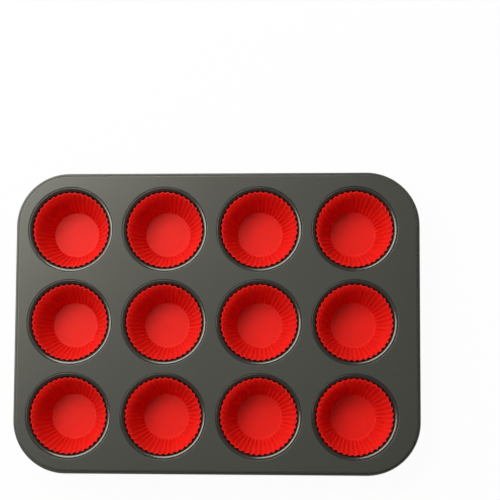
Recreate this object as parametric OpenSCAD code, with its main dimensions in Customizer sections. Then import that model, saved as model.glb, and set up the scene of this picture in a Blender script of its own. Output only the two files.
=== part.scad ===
// Twelve-cup muffin tin in coated steel, with a loose fluted silicone cup in each mouth.
// The frame is one pressed sheet with a wired edge.  Each steel cup is drawn on its own, and
// its folded rim stands in a turned-down seat round a hole of the frame.
// Origin: on the standing plane, under the middle of the frame.  Z is up, X runs along the rows.

/* [Frame] */
// Length over the wired edge
tin_l = 350; // [345:1:420]
// Width over the wired edge
tin_w = 261; // [250:1:330]
// Height of the frame's top face above the standing plane
tin_h = 32; // [26:0.5:45]
// Plan radius of the frame's corners, at the outside of the wired edge
corner_r = 46; // [20:0.5:48]
// Thickness of the steel sheet
sheet_t = 0.5; // [0.4:0.05:0.6]
// How far the block of cups sits from the middle of the frame, along X
cup_shift = -3.9; // [-4:0.1:4]

/* [Wired edge] */
// Diameter of the steel wire inside the rolled edge
wire_d = 2; // [1.2:0.02:2.4]
// Radius of the bend from the top face into the skirt
skirt_bend_r = 1.2; // [1:0.05:2.5]
// Depth of the wire's centre below the top face
wire_drop = 4; // [3:0.1:8]
// Turn of the sheet round the wire, in degrees
curl_turn = 305; // [240:5:310]

/* [Steel cups] */
// Number of rows of cups
rows = 3; // [1:1:3]
// Number of cups in a row
cols = 4; // [1:1:4]
// Spacing of the cups along X
pitch_x = 82; // [79:0.1:82]
// Spacing of the cups along Y
pitch_y = 80.8; // [79:0.1:82]
// Inner radius of a cup at its mouth, under the rounded edge
mouth_r = 34; // [33.9:0.1:34.4]
// Outside radius of the bend between base and wall
base_bend_r = 4; // [3:0.5:4]
// Radius of the rounded edge from the wall to the rim's face
mouth_bend_r = 1.2; // [1:0.1:1.6]
// Width of the rim's face, which slopes down to the mouth
rim_face = 1.4; // [1:0.1:1.6]
// Depth of a cup's rim below the frame's top face
rim_sink = 0.6; // [0.2:0.1:0.8]

/* [Silicone cups] */
// Outer radius of a silicone cup's lip, over the flutes
lip_r = 33.3; // [30:0.1:33.4]
// Inner radius of its flat floor
floor_r = 19.3; // [17:0.1:20.5]
// Height of a silicone cup
soft_h = 28.7; // [22:0.1:30]
// Thickness of the silicone wall
wall_t = 1; // [0.8:0.1:1.4]
// Thickness of the silicone floor
floor_t = 1.2; // [1:0.1:2]
// Number of flutes round the wall
flutes = 42; // [30:2:48]
// Depth of a flute at the lip
flute_depth = 0.9; // [0.4:0.1:1.2]

/* [Hidden] */

$fn = 96;
wire_fit = 0.02;         // air between the wire and the sheet rolled round it
seat_fit = 0.02;         // air between a cup's rim and its seat in the frame
soft_gap = 0.3;          // air under a silicone cup
soft_z = sheet_t + soft_gap;

// Wired edge, with u = 0 at the outermost edge of the frame and u negative inward.
bead_r = wire_d / 2 + wire_fit + sheet_t;
skirt_u = -(2 * bead_r - sheet_t);
bend_u = skirt_u - skirt_bend_r;

// Steel cup wall: it leans out by 7 in 24.  The rim's face slopes down to the mouth by as much.
wall_lean = atan(7 / 24);
lean_up = cos(wall_lean);
lean_aside = sin(wall_lean);

// Rim of a steel cup, a little below the frame's top face: a rounded edge up from the wall, the
// sloping face, a tight fold and a leg down to the seat.
fold_r = 0.55;
leg_drop = 2.3;          // from the frame's top face down to the leg's foot
mouth_turn = 90 - 2 * wall_lean;
fold_turn = 90 + wall_lean;
mouth_w = mouth_bend_r * (lean_up - lean_aside);
rim_r = mouth_r + mouth_w + rim_face * lean_up + fold_r * (1 + lean_aside);

// Seat round a hole: a rounded lip, a collar and a turned-in ledge under the cup's leg.
ledge_w = 1.1;
lip_bend_r = 0.55;
seat_r = rim_r + seat_fit;
hole_r = seat_r + lip_bend_r;
ledge_r = seat_r - ledge_w;

// Length of the wall between its bends, and radius of the flat base, from the rim back down.
base_up = base_bend_r * (1 - lean_aside);
mouth_up = (mouth_bend_r - sheet_t) * (lean_up - lean_aside);
rim_up = rim_face * lean_aside - (fold_r - sheet_t) * lean_up + fold_r;
wall_l = (tin_h - rim_sink - base_up - mouth_up - rim_up) / lean_up;
wall_x = mouth_r + sheet_t * lean_up - wall_l * lean_aside;
base_x = wall_x - base_bend_r * lean_up;

// Silicone cup: a bevelled foot, and flutes that grow from there to the lip.
foot_r = floor_r + wall_t;
foot_bend = 1.1;
foot_flute = 0.45 * flute_depth;
wall_slope = (lip_r - foot_r - foot_bend) / (soft_h - foot_bend);

// Middle of the cup in row r (1 = back) and column c (1 = left).
function cup_at(r, c) = [
    cup_shift + (c - (cols + 1) / 2) * pitch_x,
    ((rows + 1) / 2 - r) * pitch_y,
    0];

function cup_name(kind, r, c) = str(kind, "_cup_r", r, "c", c);

// Flat rounded rectangle.
module round_rect(l, w, r) {
    square([l - 2 * r, w], center = true);
    square([l, w - 2 * r], center = true);
    for (x = [-1, 1], y = [-1, 1])
        translate([x * (l / 2 - r), y * (w / 2 - r)]) circle(r);
}

// Carries a section round a rounded rectangle: u = 0 of the section is the outer edge.
module round_frame(l, w, r) {
    for (i = [0:3]) {
        across = i % 2 == 0 ? l : w;
        along = i % 2 == 0 ? w : l;
        rotate([0, 0, 90 * i]) {
            translate([across / 2, along / 2 - r, 0])
                rotate([90, 0, 0])
                    linear_extrude(along - 2 * r) children();
            translate([across / 2 - r, along / 2 - r, 0])
                rotate_extrude(angle = 90)
                    translate([r, 0]) children();
        }
    }
}

// Sheet sections are drawn as a walk: each run or bend starts where the last one ended, heading
// along +X with the sheet on its left, and hands the place it reached on to its children.

// Straight run of sheet.
module run(l) {
    square([l, sheet_t]);
    translate([l, 0]) children();
}

// Ring of sheet round the middle, cut to the turn from heading 0 to heading a.
module turned_ring(r, a) {
    reach = 2 * r;
    intersection() {
        difference() {
            circle(r);
            circle(r - sheet_t);
        }
        translate([0, -reach]) square([reach, 2 * reach]);
        rotate(a) translate([-reach, -reach]) square([reach, 2 * reach]);
    }
}

// Bend to the left by a degrees, with its outside at radius r.
module bend_left(r, a) {
    translate([0, r]) {
        turned_ring(r, a);
        rotate(a) translate([0, -r]) children();
    }
}

// Bend to the right by a degrees, with its outside at radius r.
module bend_right(r, a) {
    translate([0, sheet_t - r]) {
        turned_ring(r, -a);
        rotate(-a) translate([0, r - sheet_t]) children();
    }
}

// Section of the frame's edge: bend, short skirt and the curl outward round the wire.
module edge_section() {
    translate([bend_u, tin_h - sheet_t])
        bend_right(skirt_bend_r, 90)
            run(wire_drop - skirt_bend_r)
                bend_left(bead_r, curl_turn / 2)
                    bend_left(bead_r, curl_turn / 2);
}

// Section of the seat round a hole, walked inward from the hole's edge.
module seat_section() {
    translate([hole_r, tin_h])
        rotate(180)
            bend_left(lip_bend_r, 90)
                run(leg_drop + sheet_t - lip_bend_r);
    translate([ledge_r, tin_h - leg_drop - sheet_t]) square([ledge_w, sheet_t]);
}

module frame() {
    color("#4b4b47") {
        difference() {
            translate([0, 0, tin_h - sheet_t])
                linear_extrude(sheet_t)
                    round_rect(tin_l + 2 * bend_u, tin_w + 2 * bend_u, corner_r + bend_u);
            for (r = [1:rows], c = [1:cols])
                translate(cup_at(r, c)) cylinder(h = 2 * tin_h, r = hole_r);
        }
        round_frame(tin_l, tin_w, corner_r) edge_section();
        for (r = [1:rows], c = [1:cols])
            translate(cup_at(r, c)) rotate_extrude() seat_section();
    }
}

module rim_wire() {
    color("#8d8f92")
        round_frame(tin_l, tin_w, corner_r)
            translate([-bead_r, tin_h - wire_drop]) circle(d = wire_d);
}

// Section of a drawn cup: base, bend, leaning wall, rounded mouth, rim face, fold and leg.
module steel_section() {
    run(base_x)
        bend_left(base_bend_r, 90 - wall_lean)
            run(wall_l)
                bend_right(mouth_bend_r, mouth_turn)
                    run(rim_face)
                        bend_right(fold_r, fold_turn)
                            run(leg_drop - rim_sink - fold_r);
}

module steel_cup(r, c) {
    color("#55554f")
        translate(cup_at(r, c)) rotate_extrude() steel_section();
}

// One ring of the fluted shell: crests at rad, valleys in by depth, two points to a flute.
function flute_ring(rad, depth, z) = [
    for (i = [0:2 * flutes - 1])
        let (a = 180 * i / flutes, rr = rad - (i % 2) * depth)
        [rr * cos(a), rr * sin(a), z]];

// Joins rings of n points into one closed skin; the first and last rings close on their middles.
function skin_faces(count, n) = concat(
    [for (k = [0:count - 2], i = [0:n - 1])
        let (a = k * n + i, b = k * n + (i + 1) % n)
        each [[a, b + n, b], [a, a + n, b + n]]],
    [for (i = [0:n - 1]) [count * n, i, (i + 1) % n]],
    [for (i = [0:n - 1]) [count * n + 1, (count - 1) * n + (i + 1) % n, (count - 1) * n + i]]);

module silicone_cup(r, c) {
    bend_r = floor_r + foot_bend + wall_slope * foot_bend;
    rings = [
        flute_ring(foot_r, 0, 0),
        flute_ring(foot_r + foot_bend, foot_flute, foot_bend),
        flute_ring(lip_r, flute_depth, soft_h),
        flute_ring(lip_r - wall_t, flute_depth, soft_h),
        flute_ring(bend_r, foot_flute, floor_t + foot_bend),
        flute_ring(floor_r, 0, floor_t)];
    points = concat([for (ring = rings) each ring], [[0, 0, 0], [0, 0, floor_t]]);
    color("#e0251c")
        translate(cup_at(r, c) + [0, 0, soft_z])
            polyhedron(points, skin_faces(len(rings), 2 * flutes));
}

frame();
rim_wire();
for (r = [1:rows], c = [1:cols]) {
    steel_cup(r, c);
    silicone_cup(r, c);
}
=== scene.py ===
"""Muffin tin: the looks of a twelve-cup tin with silicone cups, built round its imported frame."""

import random
from math import atan2, cos, hypot, pi, radians, sin

import bmesh
import bpy
from mathutils import Euler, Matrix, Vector
from mathutils.geometry import delaunay_2d_cdt


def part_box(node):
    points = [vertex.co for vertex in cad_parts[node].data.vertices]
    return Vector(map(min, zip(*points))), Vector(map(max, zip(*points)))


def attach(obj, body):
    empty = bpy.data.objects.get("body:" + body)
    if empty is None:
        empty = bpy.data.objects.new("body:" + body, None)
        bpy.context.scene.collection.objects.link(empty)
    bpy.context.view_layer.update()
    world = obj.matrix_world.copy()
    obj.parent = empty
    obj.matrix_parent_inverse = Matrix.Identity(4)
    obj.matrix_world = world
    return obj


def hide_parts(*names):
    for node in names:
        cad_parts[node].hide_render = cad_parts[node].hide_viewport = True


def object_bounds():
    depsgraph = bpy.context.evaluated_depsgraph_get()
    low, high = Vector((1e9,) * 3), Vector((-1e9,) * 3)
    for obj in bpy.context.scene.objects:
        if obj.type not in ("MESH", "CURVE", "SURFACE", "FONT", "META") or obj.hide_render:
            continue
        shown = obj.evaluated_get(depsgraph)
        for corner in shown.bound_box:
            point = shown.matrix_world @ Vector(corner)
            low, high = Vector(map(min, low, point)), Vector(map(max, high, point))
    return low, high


bl_info = {
    "name": "Muffin tin",
    "version": (1, 0, 0),
    "blender": (4, 5, 0),
    "location": "3D View > Sidebar > Muffin tin",
    "description": "Coated steel muffin tin with a wired edge and fluted silicone cups",
    "category": "Object",
}

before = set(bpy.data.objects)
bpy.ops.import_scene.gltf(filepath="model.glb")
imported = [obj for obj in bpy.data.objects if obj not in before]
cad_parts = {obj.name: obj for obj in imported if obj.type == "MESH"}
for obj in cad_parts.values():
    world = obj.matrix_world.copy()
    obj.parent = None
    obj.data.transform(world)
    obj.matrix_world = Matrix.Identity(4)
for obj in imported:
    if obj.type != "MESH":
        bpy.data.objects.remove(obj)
CAD_LOW, CAD_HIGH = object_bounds()

MM = 0.001
QUARTER = pi / 2
WALL_LEAN = atan2(7, 24)
CUP_IDS = sorted(
    name.removeprefix("steel_cup_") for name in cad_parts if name.startswith("steel_cup_"))


# ---------------------------------------------------------------- sizes and colours

def length(name, description, default):
    """A length in metres that a user may change."""
    return bpy.props.FloatProperty(
        name=name, description=description, default=default,
        min=0.0, precision=5, subtype="DISTANCE", unit="LENGTH")


def colour(name, description, default):
    """A linear colour that a user may change."""
    return bpy.props.FloatVectorProperty(
        name=name, description=description, default=default,
        size=3, min=0.0, max=1.0, subtype="COLOR")


def share(name, description, default):
    """A number from 0 to 1 that a user may change."""
    return bpy.props.FloatProperty(
        name=name, description=description, default=default, min=0.0, max=1.0, subtype="FACTOR")


def power(name, description, default):
    """A lamp's power that a user may change."""
    return bpy.props.FloatProperty(
        name=name, description=description, default=default, min=0.0, unit="POWER")


class TinSizes(bpy.types.PropertyGroup):
    """Sizes and finishes of the steel parts."""

    sheet: length("Sheet", "Thickness of the pressed steel", 0.5 * MM)
    skirt_bend: length("Skirt bend", "Outer radius from the top face into the skirt", 1.2 * MM)
    bead: length("Wired edge", "Outer radius of the edge rolled round the wire", 1.52 * MM)
    wire_drop: length("Wire drop", "Depth of the wire's centre below the top face", 4.0 * MM)
    corner: length("Corner", "Plan radius of the frame's corners", 46.0 * MM)
    base_bend: length("Base bend", "Outer radius between a cup's base and wall", 4.0 * MM)
    mouth_bend: length("Mouth bend", "Radius of the rounded edge of a cup's mouth", 1.2 * MM)
    face: length("Rim face", "Width of the sloping face of a cup's rim", 1.4 * MM)
    fold: length("Rim fold", "Outer radius of the fold from the rim into its leg", 0.55 * MM)
    leg: length("Rim leg", "Depth of the rim's leg below the top face", 2.3 * MM)
    lip: length("Seat lip", "Outer radius of the bend from the top face into a seat", 0.55 * MM)
    ledge: length("Seat ledge", "Width of the ledge under a cup's leg", 1.1 * MM)
    coating: colour("Coating", "Dark non-stick coating", (0.0475, 0.048, 0.0411))
    roughness: share("Roughness", "Roughness of the frame's coating", 0.325)
    gloss: share("Gloss", "Strength of the gloss of the frame's coating", 0.70)
    # Painted shade: the cups' coating is painted darker than the frame's, for the shade in the
    # gaps round the silicone cups.
    cup_painted_shade: share("Cup tone", "Tone of the cups' coating, as a share of the frame's", 0.45)
    cup_roughness: share("Cup roughness", "Roughness of the cups' coating", 0.21)
    cup_gloss: share("Cup gloss", "Strength of the gloss of the cups' coating", 0.98)
    wire: colour("Wire", "Bare steel wire", (0.45, 0.45, 0.46))


class SiliconeSizes(bpy.types.PropertyGroup):
    """Sizes and colour of the silicone cups."""

    floor_radius: length("Floor", "Inner radius of the flat floor", 19.3 * MM)
    wall: length("Wall", "Thickness of the fluted wall", 1.0 * MM)
    floor: length("Floor thickness", "Thickness of the floor", 1.2 * MM)
    flute_depth: length("Flute depth", "Depth of a flute at the lip", 1.4 * MM)
    flutes: bpy.props.IntProperty(name="Flutes", description="Number of flutes", default=42, min=8)
    red: colour("Silicone", "Pigment of the silicone", (0.79, 0.0132, 0.0085))


class StageSettings(bpy.types.PropertyGroup):
    """Camera, lamps and floor."""

    eye: bpy.props.FloatVectorProperty(
        name="Camera place", description="Where the camera stands",
        default=(0.0575, -0.0856, 0.9761), size=3, subtype="TRANSLATION", unit="LENGTH")
    tilt: bpy.props.FloatVectorProperty(
        name="Camera turn", description="Turn of the camera from straight down",
        default=(radians(4.01), radians(2.71), radians(0.335)),
        size=3, subtype="EULER", unit="ROTATION")
    lens: bpy.props.FloatProperty(
        name="Lens", description="Focal length in millimetres",
        default=79.57, min=10.0, subtype="DISTANCE_CAMERA")
    shift: bpy.props.FloatVectorProperty(
        name="Shift", description="Sideways and upward shift of the lens",
        default=(0.04, 0.19), size=2)
    key_power: power("Key lamp", "Power of the large lamp at the upper left", 22.3)
    side_power: power("Side lamp", "Power of the long low lamp at the upper left", 13.0)
    top_power: power("Top lamp", "Power of the weak wide lamp overhead", 2.0)
    fill_power: power("Fill lamp", "Power of the long low lamp at the lower right", 18.0)
    sky: bpy.props.FloatProperty(
        name="Sky", description="Strength of the even light from all round", default=0.10, min=0.0)
    paper: colour("Floor", "Colour of the paper floor", (0.85, 0.85, 0.85))


# ---------------------------------------------------------------- shader maths

class Wave:
    """An output of a node tree that stands as a number in Python expressions."""

    def __init__(self, tree, socket):
        self.tree = tree
        self.socket = socket

    def combine(self, operation, first, second):
        node = self.tree.nodes.new("ShaderNodeMath")
        node.operation = operation
        feed(self.tree, node.inputs[0], first)
        feed(self.tree, node.inputs[1], second)
        return Wave(self.tree, node.outputs[0])

    def __add__(self, other):
        return self.combine("ADD", self, other)

    def __radd__(self, other):
        return self.combine("ADD", other, self)

    def __mul__(self, other):
        return self.combine("MULTIPLY", self, other)

    def __rmul__(self, other):
        return self.combine("MULTIPLY", other, self)


def feed(tree, socket, value):
    """Links or sets one socket."""
    if isinstance(value, Wave):
        tree.links.new(value.socket, socket)
    else:
        socket.default_value = value


class Nodes:
    """The node tree of a material or of the world."""

    def __init__(self, owner):
        owner.use_nodes = True
        self.tree = owner.node_tree

    def node(self, kind, settings=None, sockets=None, out=0):
        """Adds a node: its settings first, then its sockets by name or number."""
        made = self.tree.nodes.new(kind)
        for key, value in (settings or {}).items():
            setattr(made, key, value)
        for key, value in (sockets or {}).items():
            feed(self.tree, made.inputs[key], value)
        return Wave(self.tree, made.outputs[out])


class Finish(Nodes):
    """A material under construction, with its surface shader."""

    def __init__(self, name):
        self.material = bpy.data.materials.new(name)
        super().__init__(self.material)
        self.shader = self.tree.nodes["Principled BSDF"]

    def place(self):
        """Places on the piece itself, in metres."""
        return self.node("ShaderNodeTexCoord", out=3)

    def noise(self, where, size, detail=2.0, roughness=0.5):
        """Noise whose grains are about `size` metres across, from 0 to 1."""
        return self.node("ShaderNodeTexNoise", sockets={
            "Vector": where, "Scale": 1.0 / size, "Detail": detail, "Roughness": roughness})

    def stretched(self, where, factors):
        """The same places, stretched by one factor an axis."""
        return self.node(
            "ShaderNodeVectorMath", {"operation": "MULTIPLY"}, {0: where, 1: factors})

    def blend(self, amount, first, second):
        """Mix of two colours."""
        return self.node(
            "ShaderNodeMix", {"data_type": "RGBA"}, {0: amount, 6: first, 7: second}, out=2)

    def surface(self, **values):
        """Sets or links the shader's sockets; an underscore stands for a space."""
        for key, value in values.items():
            feed(self.tree, self.shader.inputs[key.replace("_", " ")], value)

    def bump(self, height, distance, strength=1.0):
        """Feeds the normal from a height between 0 and 1."""
        normal = self.node("ShaderNodeBump", sockets={
            "Height": height, "Distance": distance, "Strength": strength})
        feed(self.tree, self.shader.inputs["Normal"], normal)


def shade(base, factor):
    """A colour made lighter or darker, with its alpha."""
    return tuple(channel * factor for channel in base) + (1.0,)


# Every gloss has a warm tint.
WARM = (1.0, 0.98, 0.85, 1.0)

# Painted highlight: the coating is painted paler, and made smoother, below a given height, and
# this fades into the rest.
HIGHLIGHT_FADE = 0.3 * MM
PAINTED_HIGHLIGHT_TONE = 2.0
HIGHLIGHT_POLISH = -0.09
NO_PAINTED_HIGHLIGHT = -1.0

# How far the speckle and the patches vary the coating's roughness.
SPECKLE_SPREAD = 0.07
PATCH_SPREAD = 0.04


def coated_steel(name, base, roughness, gloss, highlight_below=NO_PAINTED_HIGHLIGHT):
    """Non-stick coating: fine speckle, faint draw lines and patches of sheen, with a painted
    highlight low down.
    """
    coat = Finish(name)
    where = coat.place()
    speckle = coat.noise(where, 0.45 * MM, 3.0, 0.6)
    drawn = coat.noise(coat.stretched(where, (0.06, 1.0, 1.0)), 1.1 * MM, 2.0, 0.6)
    patches = coat.noise(where, 45 * MM, 2.0)
    height = coat.node("ShaderNodeSeparateXYZ", sockets={0: where}, out=2)
    # Painted highlight: a mask that is 1 below the given height and fades to 0 above it; there the
    # base colour is painted paler and the roughness lowered.
    painted_highlight = coat.node("ShaderNodeMapRange", sockets={
        "Value": height, "From Min": highlight_below, "From Max": highlight_below + HIGHLIGHT_FADE,
        "To Min": 1.0, "To Max": 0.0})
    tone = speckle * 0.45 + drawn * 0.35 + patches * 0.2
    plain = coat.blend(tone, shade(base, 0.80), shade(base, 1.20))
    uneven = speckle * SPECKLE_SPREAD + patches * PATCH_SPREAD
    steady = roughness - (SPECKLE_SPREAD + PATCH_SPREAD) / 2
    coat.surface(
        Base_Color=coat.blend(painted_highlight, plain, shade(base, PAINTED_HIGHLIGHT_TONE)),
        Roughness=uneven + painted_highlight * HIGHLIGHT_POLISH + steady,
        Specular_IOR_Level=gloss,
        Specular_Tint=WARM)
    coat.bump(speckle * 0.7 + drawn * 0.3, 0.02 * MM, 0.5)
    return coat.material


def bare_wire(base):
    """Drawn steel wire with fine lines along it."""
    wire = Finish("drawn_wire")
    lines = wire.noise(wire.place(), 0.3 * MM, 3.0)
    wire.surface(
        Base_Color=wire.blend(lines, shade(base, 0.85), shade(base, 1.15)),
        Metallic=1.0,
        Roughness=0.25 + lines * 0.15)
    wire.bump(lines, 0.01 * MM, 0.4)
    return wire.material


def red_silicone(base):
    """Satin moulded silicone: translucent depth, a fine moulded grain and uneven sheen."""
    soft = Finish("red_silicone")
    where = soft.place()
    grain = soft.noise(where, 0.35 * MM, 2.0)
    sheen = soft.noise(where, 9 * MM, 3.0)
    soft.surface(
        Base_Color=soft.blend(sheen, shade(base, 0.93), shade(base, 1.05)),
        Roughness=0.36 + sheen * 0.12 + grain * 0.05,
        IOR=1.41,
        Specular_IOR_Level=0.25,
        Specular_Tint=WARM,
        Subsurface_Weight=0.2,
        Subsurface_Radius=(1.0, 0.12, 0.08),
        Subsurface_Scale=2.0 * MM)
    soft.bump(grain * 0.6 + sheen * 0.4, 0.03 * MM, 0.5)
    return soft.material


# Share of the floor's white that is its own glow to the camera, and not lit.
GLOW_SHARE = 0.96


def paper_floor(base):
    """White paper that keeps the shadow, and is clear from below so that the base can be seen."""
    paper = Finish("paper")
    fibres = paper.noise(paper.place(), 2 * MM, 4.0)
    paper.surface(
        Base_Color=paper.blend(fibres, shade(base, 0.98), shade(base, 1.02)),
        Roughness=0.9)
    seen = paper.node("ShaderNodeLightPath", out="Is Camera Ray")
    below = paper.node("ShaderNodeNewGeometry", out="Backfacing")
    clear = paper.node("ShaderNodeBsdfTransparent")
    glow = paper.node("ShaderNodeEmission", sockets={"Strength": 1.0})
    lit = Wave(paper.tree, paper.shader.outputs[0])
    mixed = paper.node("ShaderNodeMixShader", sockets={0: seen * GLOW_SHARE, 1: lit, 2: glow})
    sided = paper.node("ShaderNodeMixShader", sockets={0: below, 1: mixed, 2: clear})
    feed(paper.tree, paper.tree.nodes["Material Output"].inputs["Surface"], sided)
    return paper.material


# ---------------------------------------------------------------- mesh tools

def arc(middle, radius, start, end, steps):
    """Points of an arc, in degrees, from start to end."""
    turns = [radians(start + (end - start) * i / steps) for i in range(steps + 1)]
    return [(middle[0] + radius * cos(a), middle[1] + radius * sin(a)) for a in turns]


def bowed(first, last, half_turn, steps):
    """Points of a shallow arc between two ends, bowed to its left by half_turn degrees."""
    run, rise = last[0] - first[0], last[1] - first[1]
    heading = atan2(rise, run)
    radius = hypot(run, rise) / 2 / sin(radians(half_turn))
    back = radius * cos(radians(half_turn))
    middle = (
        (first[0] + last[0]) / 2 + back * sin(heading),
        (first[1] + last[1]) / 2 - back * cos(heading))
    outward = heading * 180 / pi + 90
    return arc(middle, radius, outward + half_turn, outward - half_turn, steps)


def spread(first, last, shares):
    """Points between two ends at the given shares of the way."""
    run, rise = last[0] - first[0], last[1] - first[1]
    return [(first[0] + run * s, first[1] + rise * s) for s in shares]


def tidy(outline, least=1e-7):
    """The outline without points that repeat the one before."""
    kept = [outline[0]]
    for point in outline[1:]:
        if hypot(point[0] - kept[-1][0], point[1] - kept[-1][1]) > least:
            kept.append(point)
    return kept


def strip(mesh, rings):
    """Joins rings of the same count into a closed band of quads."""
    for low, high in zip(rings, rings[1:]):
        count = len(low)
        for i in range(count):
            j = (i + 1) % count
            mesh.faces.new((low[i], low[j], high[j], high[i]))


def cap(mesh, ring, point, outward):
    """Closes a ring on one middle vertex."""
    middle = mesh.verts.new(point)
    count = len(ring)
    for i in range(count):
        j = (i + 1) % count
        corners = (ring[i], ring[j], middle) if outward else (ring[j], ring[i], middle)
        mesh.faces.new(corners)


def make_object(name, mesh, material, crease=35.0):
    """A smooth-shaded object from a bmesh, with its edges over `crease` degrees kept sharp."""
    bmesh.ops.recalc_face_normals(mesh, faces=mesh.faces)
    limit = radians(crease)
    for face in mesh.faces:
        face.smooth = True
    for edge in mesh.edges:
        if len(edge.link_faces) == 2:
            edge.smooth = edge.calc_face_angle() < limit
    data = bpy.data.meshes.new(name)
    mesh.to_mesh(data)
    mesh.free()
    data.materials.append(material)
    made = bpy.data.objects.new(name, data)
    bpy.context.scene.collection.objects.link(made)
    return made


def lathe(name, outline, steps, material, reach=None):
    """Turns an outline from axis to axis about Z; reach(angle, index) moves a point outward."""
    mesh = bmesh.new()
    rings = []
    for index, (radius, height) in enumerate(outline):
        if radius <= 0.0:
            continue
        ring = []
        for step in range(steps):
            angle = 2 * pi * step / steps
            out = radius + (reach(angle, index) if reach else 0.0)
            ring.append(mesh.verts.new((out * cos(angle), out * sin(angle), height)))
        rings.append(ring)
    strip(mesh, rings)
    cap(mesh, rings[0], (0.0, 0.0, outline[0][1]), True)
    cap(mesh, rings[-1], (0.0, 0.0, outline[-1][1]), False)
    return make_object(name, mesh, material)


def middle_of(node):
    """Middle of a CAD node in plan, at its lowest height."""
    low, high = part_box(node)
    return Vector(((low.x + high.x) / 2, (low.y + high.y) / 2, low.z))


# ---------------------------------------------------------------- frame sheet

# Flat border kept round each bend of the sheet, so that the bend's shading stays in the bend.
EDGE_GUARD = 0.35 * MM
# Turn of the sheet round the wire, in degrees.
CURL_TURN = 305
# Air between a cup's rim and its seat.
SEAT_FIT = 0.02 * MM
SEAT_STEPS = 96


def edge_outline(sizes, top):
    """Way of the sheet's edge from its top face, round the wire and back below, as (u, z)."""
    sheet, bead = sizes.sheet, sizes.bead
    skirt = sheet - 2 * bead
    bend = (skirt - sizes.skirt_bend, top - sizes.skirt_bend)
    wire = (-bead, top - sizes.wire_drop)
    curl_end = 180 + CURL_TURN
    return tidy(
        [(bend[0] - EDGE_GUARD, top)]
        + arc(bend, sizes.skirt_bend, 90, 0, 10)
        + arc(wire, bead - sheet, 180, curl_end, 40)
        + arc(wire, bead, curl_end, 180, 48)
        + arc(bend, sizes.skirt_bend - sheet, 0, 90, 8)
        + [(bend[0] - EDGE_GUARD, top - sheet)])


def seat_outline(sizes, top, seat):
    """Way of a hole's seat from the top face down to its ledge and back below, as (r, z)."""
    sheet = sizes.sheet
    hole = seat + sizes.lip
    bend = (hole, top - sizes.lip)
    shelf = top - sizes.leg
    return tidy(
        [(hole + EDGE_GUARD, top)]
        + arc(bend, sizes.lip, 90, 180, 8)
        + [(seat, shelf), (seat - sizes.ledge, shelf), (seat - sizes.ledge, shelf - sheet)]
        + arc((seat, shelf), sheet, 270, 360, 6)
        + arc(bend, sizes.lip - sheet, 180, 90, 4)
        + [(hole + EDGE_GUARD, top - sheet)])


def rim_path(half_x, half_y, corner, corner_steps=24, spacing=9 * MM):
    """Places and outward directions round a rounded rectangle, counter-clockwise."""
    path = []
    for quarter in range(4):
        across, along = (half_x, half_y) if quarter % 2 == 0 else (half_y, half_x)
        turn = quarter * QUARTER
        straight = 2 * (along - corner)
        count = max(2, round(straight / spacing))
        local = [(across, -along + corner + straight * i / count, 0.0) for i in range(count)]
        for i in range(corner_steps):
            angle = QUARTER * i / corner_steps
            x = across - corner + corner * cos(angle)
            y = along - corner + corner * sin(angle)
            local.append((x, y, angle))
        for x, y, lean in local:
            place = (x * cos(turn) - y * sin(turn), x * sin(turn) + y * cos(turn))
            path.append((place, (cos(turn + lean), sin(turn + lean))))
    return path


def flat_faces(mesh, outer, holes, upward):
    """Fills the sheet between its outer ring and its holes, on the rings' own vertices."""
    loops = [outer] + holes
    verts = [vertex for loop in loops for vertex in loop]
    edges = []
    start = 0
    for loop in loops:
        count = len(loop)
        edges += [(start + i, start + (i + 1) % count) for i in range(count)]
        start += count
    flat = [vertex.co.xy for vertex in verts]
    centres = [sum((v.co.xy for v in hole), Vector((0, 0))) / len(hole) for hole in holes]
    hole_radius = (holes[0][0].co.xy - centres[0]).length
    points, _, triangles, origin, _, _ = delaunay_2d_cdt(flat, edges, [], 1, 1e-7)
    for triangle in triangles:
        corners = [verts[origin[i][0]] for i in triangle]
        middle = sum((c.co.xy for c in corners), Vector((0, 0))) / 3
        if any((middle - centre).length < hole_radius for centre in centres):
            continue
        mesh.faces.new(corners if upward else corners[::-1])


def frame_sheet(sizes, material):
    """The pressed frame: flat sheet, twelve seats and the edge rolled round its wire."""
    low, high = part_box("frame")
    top = high.z
    half_x, half_y = (high.x - low.x) / 2, (high.y - low.y) / 2
    mesh = bmesh.new()
    path = rim_path(half_x, half_y, sizes.corner)
    edge_rings = [
        [mesh.verts.new((x + u * nx, y + u * ny, z)) for (x, y), (nx, ny) in path]
        for u, z in edge_outline(sizes, top)]
    strip(mesh, edge_rings)
    rim_low, rim_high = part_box("steel_cup_" + CUP_IDS[0])
    seat = (rim_high.x - rim_low.x) / 2 + SEAT_FIT
    turns = [2 * pi * i / SEAT_STEPS for i in range(SEAT_STEPS)]
    seats = []
    for cup in CUP_IDS:
        centre = middle_of("steel_cup_" + cup)
        rings = []
        for radius, height in seat_outline(sizes, top, seat):
            rings.append([
                mesh.verts.new((centre.x + radius * cos(a), centre.y + radius * sin(a), height))
                for a in turns])
        strip(mesh, rings)
        seats.append(rings)
    flat_faces(mesh, edge_rings[0], [rings[0] for rings in seats], True)
    flat_faces(mesh, edge_rings[-1], [rings[-1] for rings in seats], False)
    return make_object("pressed_frame", mesh, material)


# ---------------------------------------------------------------- steel cups

# Crown of the rim's face: how far it turns from its slope at either side, in degrees.
FACE_CROWN = 12.0
CUP_STEPS = 144
# Points along a straight run, close to its ends so that the bends there keep their shading.
SUPPORTS = (0.0, 0.04, 0.5, 0.96, 1.0)


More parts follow.
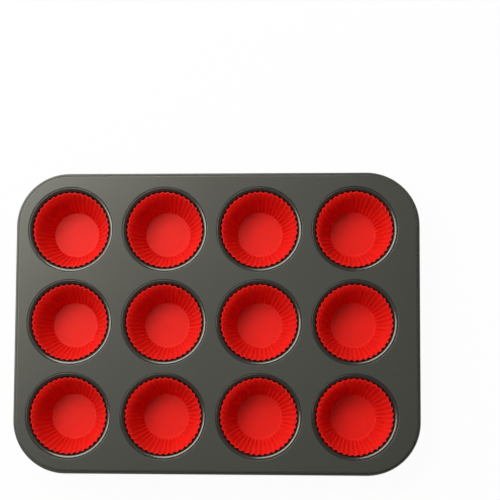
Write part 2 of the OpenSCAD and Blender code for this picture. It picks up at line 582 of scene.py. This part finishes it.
def steel_cup_outline(sizes, rim, top, foot):
    """A drawn cup from the middle of its floor, over rim and leg, to the middle of its base."""
    sheet, base, mouth, fold = sizes.sheet, sizes.base_bend, sizes.mouth_bend, sizes.fold
    up, aside = cos(WALL_LEAN), sin(WALL_LEAN)
    lean = WALL_LEAN * 180 / pi
    fold_mid = (rim - fold, top - fold)
    face_in = (
        fold_mid[0] - fold * aside - sizes.face * up,
        fold_mid[1] + fold * up - sizes.face * aside)
    mouth_mid = (face_in[0] + mouth * aside, face_in[1] - mouth * up)
    wall_drop = mouth_mid[1] + mouth * aside - base + (base - sheet) * aside
    base_mid = (mouth_mid[0] - (mouth + base - sheet) * up - wall_drop * aside / up, base)
    floor_bend = arc(base_mid, base - sheet, -90, -lean, 12)
    mouth_top = arc(mouth_mid, mouth, 180 - lean, 90 + lean + FACE_CROWN, 9)
    fold_top = arc(fold_mid, fold, 90 + lean - FACE_CROWN, 0, 8)
    fold_under = arc(fold_mid, fold - sheet, 0, 90 + lean, 3)
    mouth_under = arc(mouth_mid, mouth - sheet, 90 + lean, 180 - lean, 8)
    base_under = arc(base_mid, base, -lean, -90, 12)
    return tidy(
        spread((0.0, sheet), floor_bend[0], (0.0, 0.5, 0.96))
        + floor_bend
        + spread(floor_bend[-1], mouth_top[0], SUPPORTS)
        + mouth_top
        + bowed(mouth_top[-1], fold_top[0], FACE_CROWN, 6)
        + fold_top
        + [(rim, foot), (rim - sheet, foot)]
        + fold_under
        + spread(fold_under[-1], mouth_under[0], SUPPORTS)
        + mouth_under
        + spread(mouth_under[-1], base_under[0], SUPPORTS)
        + base_under
        + spread(base_under[-1], (0.0, 0.0), (0.04, 0.5, 1.0)))


def steel_cup(cup, sizes, material):
    """One drawn steel cup on its CAD place."""
    node = "steel_cup_" + cup
    low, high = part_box(node)
    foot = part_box("frame")[1].z - sizes.leg
    outline = steel_cup_outline(sizes, (high.x - low.x) / 2, high.z, foot)
    made = lathe("drawn_cup_" + cup, outline, CUP_STEPS, material)
    made.location = middle_of(node)
    return made


# ---------------------------------------------------------------- silicone cups

SEED = 12
STEPS_PER_FLUTE = 10
WALL_STEPS = 12
# Depth of the flutes at the foot and at the waist, and of the shallowest flute, as shares of
# their depth at the lip; and the share of the wall's height at which the waist is.
FOOT_SHARE = 0.8
WAIST_SHARE = 0.4
SHALLOWEST = 0.78
WAIST_AT = 0.8


def flute_share(way):
    """How far the flutes are out at a share of the way from the foot up to the lip."""
    if way < WAIST_AT:
        return FOOT_SHARE + (WAIST_SHARE - FOOT_SHARE) * way / WAIST_AT
    return WAIST_SHARE + (1 - WAIST_SHARE) * (way - WAIST_AT) / (1 - WAIST_AT)


def silicone_outline(sizes, lip, height):
    """A silicone cup from the middle of its floor, over the lip, to the middle of its foot.

    Each point is (r, z, share), where share tells how far the flutes are out there."""
    wall, floor, inner = sizes.wall, sizes.floor, sizes.floor_radius
    foot = inner + wall
    foot_bend = 1.1 * MM
    floor_bend = 1.7 * MM
    edge = 0.3 * MM
    floor_steps, foot_steps = 8, 6
    lean = atan2(lip - foot - foot_bend, height - foot_bend)
    turned = 90 - lean * 180 / pi
    bend_in = arc((inner, floor + floor_bend), floor_bend, -90, turned - 90, floor_steps)
    bend_out = arc((foot, foot_bend), foot_bend, turned - 90, -90, foot_steps)
    lip_over = (
        arc((lip - wall + edge, height - edge), edge, 180, 90, 4)
        + arc((lip - edge, height - edge), edge, 90, 0, 4))
    rise = [i / WALL_STEPS for i in range(1, WALL_STEPS)]
    wall_in = spread(bend_in[-1], lip_over[0], rise)
    wall_out = spread(lip_over[-1], bend_out[0], rise)
    return (
        [(r, z, 0.0) for r, z in spread((0.0, floor), bend_in[0], (0.0, 0.4, 0.8, 0.97))]
        + [(r, z, FOOT_SHARE * i / floor_steps) for i, (r, z) in enumerate(bend_in)]
        + [(r, z, flute_share(way)) for way, (r, z) in zip(rise, wall_in)]
        + [(r, z, 1.0) for r, z in lip_over]
        + [(r, z, flute_share(1 - way)) for way, (r, z) in zip(rise, wall_out)]
        + [(r, z, FOOT_SHARE * (1 - i / foot_steps)) for i, (r, z) in enumerate(bend_out)]
        + [(r, z, 0.0) for r, z in spread(bend_out[-1], (0.0, 0.0), (0.03, 0.4, 1.0))])


def flute_wave(angle, count):
    """Depth of the flutes round the wall: 0 on a rounded crest, 1 in a narrower valley."""
    soft = 0.15
    ridge = ((cos(count * angle / 2) ** 2) * (1 - soft) + soft) ** 0.5
    low = soft ** 0.5
    return (1 - ridge) / (1 - low)


def silicone_cup(cup, sizes, material, chance):
    """One fluted silicone cup on its CAD place, turned by chance and a little uneven."""
    node = "silicone_cup_" + cup
    low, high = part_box(node)
    points = silicone_outline(sizes, (high.x - low.x) / 2, high.z - low.z)
    turn = chance.uniform(0, 2 * pi)
    uneven = [chance.uniform(SHALLOWEST, 1.0) for _ in range(sizes.flutes)]

    def reach(angle, index):
        flute = int(angle * sizes.flutes / (2 * pi)) % sizes.flutes
        depth = sizes.flute_depth * points[index][2] * uneven[flute]
        return -depth * flute_wave(angle, sizes.flutes)

    made = lathe(
        "fluted_cup_" + cup, [(r, z) for r, z, _ in points],
        sizes.flutes * STEPS_PER_FLUTE, material, reach)
    made.location = middle_of(node)
    made.rotation_euler.z = turn
    return made


# ---------------------------------------------------------------- stage

# Each lamp's place, the point it faces, and its width and height, in metres.
LAMPS = {
    "key": ((-0.64, 0.615, 1.22), (0.0, 0.0, 0.0), (1.8, 0.6)),
    "side": ((-1.15, 0.96, 0.5), (0.0, 0.0, 0.0), (4.6, 0.3)),
    "top": ((-0.25, 0.3, 1.9), (-0.25, 0.3, 0.0), (1.3, 1.1)),
    "fill": ((1.3, -1.08, 0.32), (0.0, 0.0, 0.0), (3.2, 0.25)),
}
FLOOR_HALF = 2.0
# The floor lies this far below the tin, so that no two faces share a place.
FLOOR_GAP = 0.05 * MM


def area_lamp(name, place, aim, size, energy):
    """A rectangular lamp that faces a point."""
    data = bpy.data.lights.new(name, "AREA")
    data.shape = "RECTANGLE"
    data.size, data.size_y = size
    data.energy = energy
    lamp = bpy.data.objects.new(name, data)
    lamp.location = place
    lamp.rotation_euler = (Vector(aim) - Vector(place)).to_track_quat("-Z", "Y").to_euler()
    bpy.context.scene.collection.objects.link(lamp)
    return lamp


def add_floor(paper):
    """The paper floor under the tin."""
    mesh = bmesh.new()
    height = CAD_LOW.z - FLOOR_GAP
    mesh.faces.new([
        mesh.verts.new((x * FLOOR_HALF, y * FLOOR_HALF, height))
        for x, y in ((-1, -1), (1, -1), (1, 1), (-1, 1))])
    floor = make_object("floor", mesh, paper_floor(paper))


def add_camera(settings):
    """The camera over the tin."""
    data = bpy.data.cameras.new("camera")
    data.lens = settings.lens
    data.sensor_width = 36.0
    data.shift_x, data.shift_y = settings.shift
    camera = bpy.data.objects.new("camera", data)
    camera.location = settings.eye
    camera.rotation_euler = Euler(settings.tilt)
    bpy.context.scene.collection.objects.link(camera)
    bpy.context.scene.camera = camera


def add_sky(strength):
    """Even light from all round, which the camera sees as white."""
    world = bpy.data.worlds.new("sky")
    bpy.context.scene.world = world
    sky = Nodes(world)
    background = sky.tree.nodes["Background"]
    background.inputs["Color"].default_value = (1.0, 1.0, 1.0, 1.0)
    seen = sky.node("ShaderNodeLightPath", out="Is Camera Ray")
    feed(sky.tree, background.inputs["Strength"], strength + seen * (1.0 - strength))


# ---------------------------------------------------------------- operators

class TinOperator:
    """What the tin's operators share."""

    bl_options = {"REGISTER", "UNDO"}


class MUFFINTIN_OT_stage(TinOperator, bpy.types.Operator):
    """Sets up the floor, the light and the camera"""

    bl_idname = "muffintin.stage"
    bl_label = "Stage"

    def execute(self, context):
        settings = context.scene.tin_stage
        add_floor(settings.paper)
        for name, (place, aim, size) in LAMPS.items():
            lamp = area_lamp(name, place, aim, size, getattr(settings, name + "_power"))
            # The fill lightens the shade, without a reflection of its own.
            lamp.visible_glossy = name != "fill"
        add_sky(settings.sky)
        add_camera(settings)
        return {"FINISHED"}


class MUFFINTIN_OT_frame(TinOperator, bpy.types.Operator):
    """Builds the pressed frame with its seats and wired edge"""

    bl_idname = "muffintin.frame"
    bl_label = "Pressed frame"

    def execute(self, context):
        sizes = context.scene.tin_sizes
        bead_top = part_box("frame")[1].z - sizes.wire_drop + sizes.bead
        # The wired edge gets the painted highlight below the top of its bead.
        coating = coated_steel(
            "non_stick_coating", sizes.coating, sizes.roughness, sizes.gloss, bead_top - HIGHLIGHT_FADE)
        sheet = frame_sheet(sizes, coating)
        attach(sheet, "tin")
        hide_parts("frame")
        return {"FINISHED"}


class MUFFINTIN_OT_wire(TinOperator, bpy.types.Operator):
    """Finishes the steel wire inside the rolled edge"""

    bl_idname = "muffintin.wire"
    bl_label = "Rim wire"

    def execute(self, context):
        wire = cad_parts["rim_wire"]
        wire.data.materials.clear()
        wire.data.materials.append(bare_wire(context.scene.tin_sizes.wire))
        return {"FINISHED"}


class MUFFINTIN_OT_steel_cups(TinOperator, bpy.types.Operator):
    """Builds the drawn steel cups"""

    bl_idname = "muffintin.steel_cups"
    bl_label = "Steel cups"

    def execute(self, context):
        sizes = context.scene.tin_sizes
        # Painted shade: the cups' coating is a darker share of the frame's.
        base = [channel * sizes.cup_painted_shade for channel in sizes.coating]
        finish = coated_steel("glossy_cup_coating", base, sizes.cup_roughness, sizes.cup_gloss)
        for cup in CUP_IDS:
            made = steel_cup(cup, sizes, finish)
            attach(made, "tin")
            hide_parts("steel_cup_" + cup)
        return {"FINISHED"}


class MUFFINTIN_OT_silicone_cups(TinOperator, bpy.types.Operator):
    """Builds the fluted silicone cups"""

    bl_idname = "muffintin.silicone_cups"
    bl_label = "Silicone cups"

    def execute(self, context):
        sizes = context.scene.tin_silicone
        material = red_silicone(sizes.red)
        chance = random.Random(SEED)
        for cup in CUP_IDS:
            made = silicone_cup(cup, sizes, material, chance)
            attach(made, "silicone_cup_" + cup)
            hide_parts("silicone_cup_" + cup)
        return {"FINISHED"}


class MUFFINTIN_PT_panel(bpy.types.Panel):
    """Lists the tin's operators in the sidebar"""

    bl_idname = "MUFFINTIN_PT_panel"
    bl_label = "Muffin tin"
    bl_space_type = "VIEW_3D"
    bl_region_type = "UI"
    bl_category = "Muffin tin"

    def draw(self, context):
        for operator in OPERATORS:
            self.layout.operator(operator.bl_idname)


GROUPS = {"tin_sizes": TinSizes, "tin_silicone": SiliconeSizes, "tin_stage": StageSettings}
OPERATORS = (
    MUFFINTIN_OT_stage, MUFFINTIN_OT_frame, MUFFINTIN_OT_wire,
    MUFFINTIN_OT_steel_cups, MUFFINTIN_OT_silicone_cups)


def register():
    """Registers the groups, the operators and the panel."""
    for name, group in GROUPS.items():
        bpy.utils.register_class(group)
        setattr(bpy.types.Scene, name, bpy.props.PointerProperty(type=group))
    for kind in (*OPERATORS, MUFFINTIN_PT_panel):
        bpy.utils.register_class(kind)


def unregister():
    """Takes everything out again."""
    for kind in (MUFFINTIN_PT_panel, *reversed(OPERATORS)):
        bpy.utils.unregister_class(kind)
    for name, group in reversed(GROUPS.items()):
        delattr(bpy.types.Scene, name)
        bpy.utils.unregister_class(group)


def main():
    """Builds the tin."""
    register()
    bpy.context.scene.view_settings.view_transform = "Standard"
    bpy.ops.muffintin.stage()
    bpy.ops.muffintin.frame()
    bpy.ops.muffintin.wire()
    bpy.ops.muffintin.steel_cups()
    bpy.ops.muffintin.silicone_cups()


if __name__ == "__main__":
    main()
